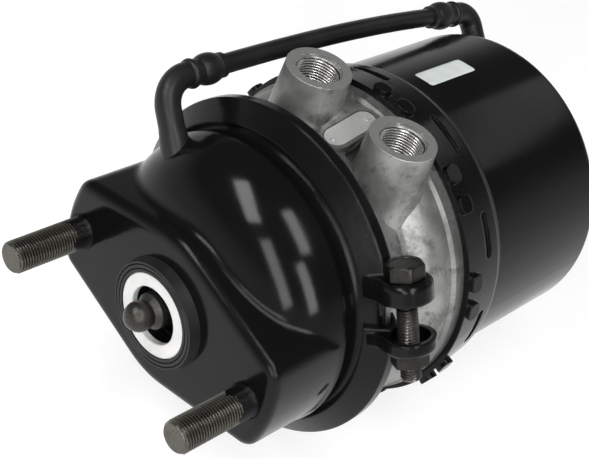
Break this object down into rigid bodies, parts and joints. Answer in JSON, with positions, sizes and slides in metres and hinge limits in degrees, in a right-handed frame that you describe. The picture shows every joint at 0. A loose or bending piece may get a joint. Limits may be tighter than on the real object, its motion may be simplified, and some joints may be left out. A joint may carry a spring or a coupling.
{
  "type": "air brake chamber",
  "caption": "Combination air brake chamber for a disc brake: diaphragm section, V-band clamp, cast flange with twin air ports and a spring section with release bolt, in its caged state.",
  "frame": {"origin": "centre of the mounting face, midway between the two studs, on the push rod's axis", "axes": "+Y along the push rod's axis from the mounting face to the rear, X along the line of the studs, +Z the way the air ports open"},
  "size_m": [0.2044, 0.3663, 0.1824],
  "materials": {
    "black_paint": "gloss black stove enamel over pressed steel, with small chips and dust",
    "cast_aluminium": "fine sand-cast grain, machined at the rim, the port faces and the threads",
    "stud_steel": "bare oiled steel, brown at the ends, painted at the foot",
    "oxide_steel": "black oxide with worn bright edges",
    "bare_steel": "turned steel",
    "spring_steel": "shot-peened spring wire, phosphated",
    "black_rubber": "matt moulded rubber",
    "hose_rubber": "satin extruded rubber hose",
    "white_plastic": "smooth moulded acetal",
    "plate_aluminium": "thin anodised plate, bare",
    "piston_aluminium": "die-cast"
  },
  "bodies": {
    "chamber": {"service_housing": "black_paint", "mounting_stud_1": "stud_steel", "mounting_stud_2": "stud_steel", "front_seal": "black_rubber", "guide_ring": "white_plastic", "bellows": "black_rubber", "diaphragm": "black_rubber", "return_spring": "spring_steel", "clamp_band_1": "black_paint", "clamp_band_2": "black_paint", "clamp_bolt_1": "oxide_steel", "clamp_bolt_2": "oxide_steel", "clamp_nut_1": "oxide_steel", "clamp_nut_2": "oxide_steel", "flange": "cast_aluminium", "nameplate": "plate_aluminium", "nameplate_rivet_1": "plate_aluminium", "nameplate_rivet_2": "plate_aluminium", "push_tube_seal": "black_rubber", "spring_housing": "black_paint", "spring_piston": "piston_aluminium", "piston_seal": "black_rubber", "piston_guide": "white_plastic", "power_spring": "spring_steel", "release_nut": "bare_steel", "vent_hose": "hose_rubber", "elbow_front": "black_rubber", "elbow_rear": "black_rubber"},
    "pushrod": {"push_plate": "bare_steel", "push_rod": "bare_steel"},
    "release_thrust": {"thrust_ring": "bare_steel"},
    "release_bolt": {"release_bolt": "oxide_steel"}
  },
  "joints": [
    {"name": "pushrod_stroke", "type": "slide", "parent": "chamber", "child": "pushrod", "axis": [0, -1, 0], "range_m": [0, 0.064], "stiffness_N_per_m": 3000, "springref_m": -0.04, "deforming": ["return_spring", "diaphragm", "bellows"]},
    {"name": "release_thrust_travel", "type": "slide", "parent": "chamber", "child": "release_thrust", "axis": [0, -1, 0], "range_m": [0, 0.064]},
    {"name": "release_bolt_turn", "type": "hinge", "parent": "release_thrust", "child": "release_bolt", "pos_m": [0, 0.245, 0], "axis": [0, -1, 0], "range_deg": [0, 11538]}
  ],
  "couplings": [
    {"joint": "release_bolt_turn", "follows": "release_thrust_travel", "rad_per_m": 3141.6}
  ]
}
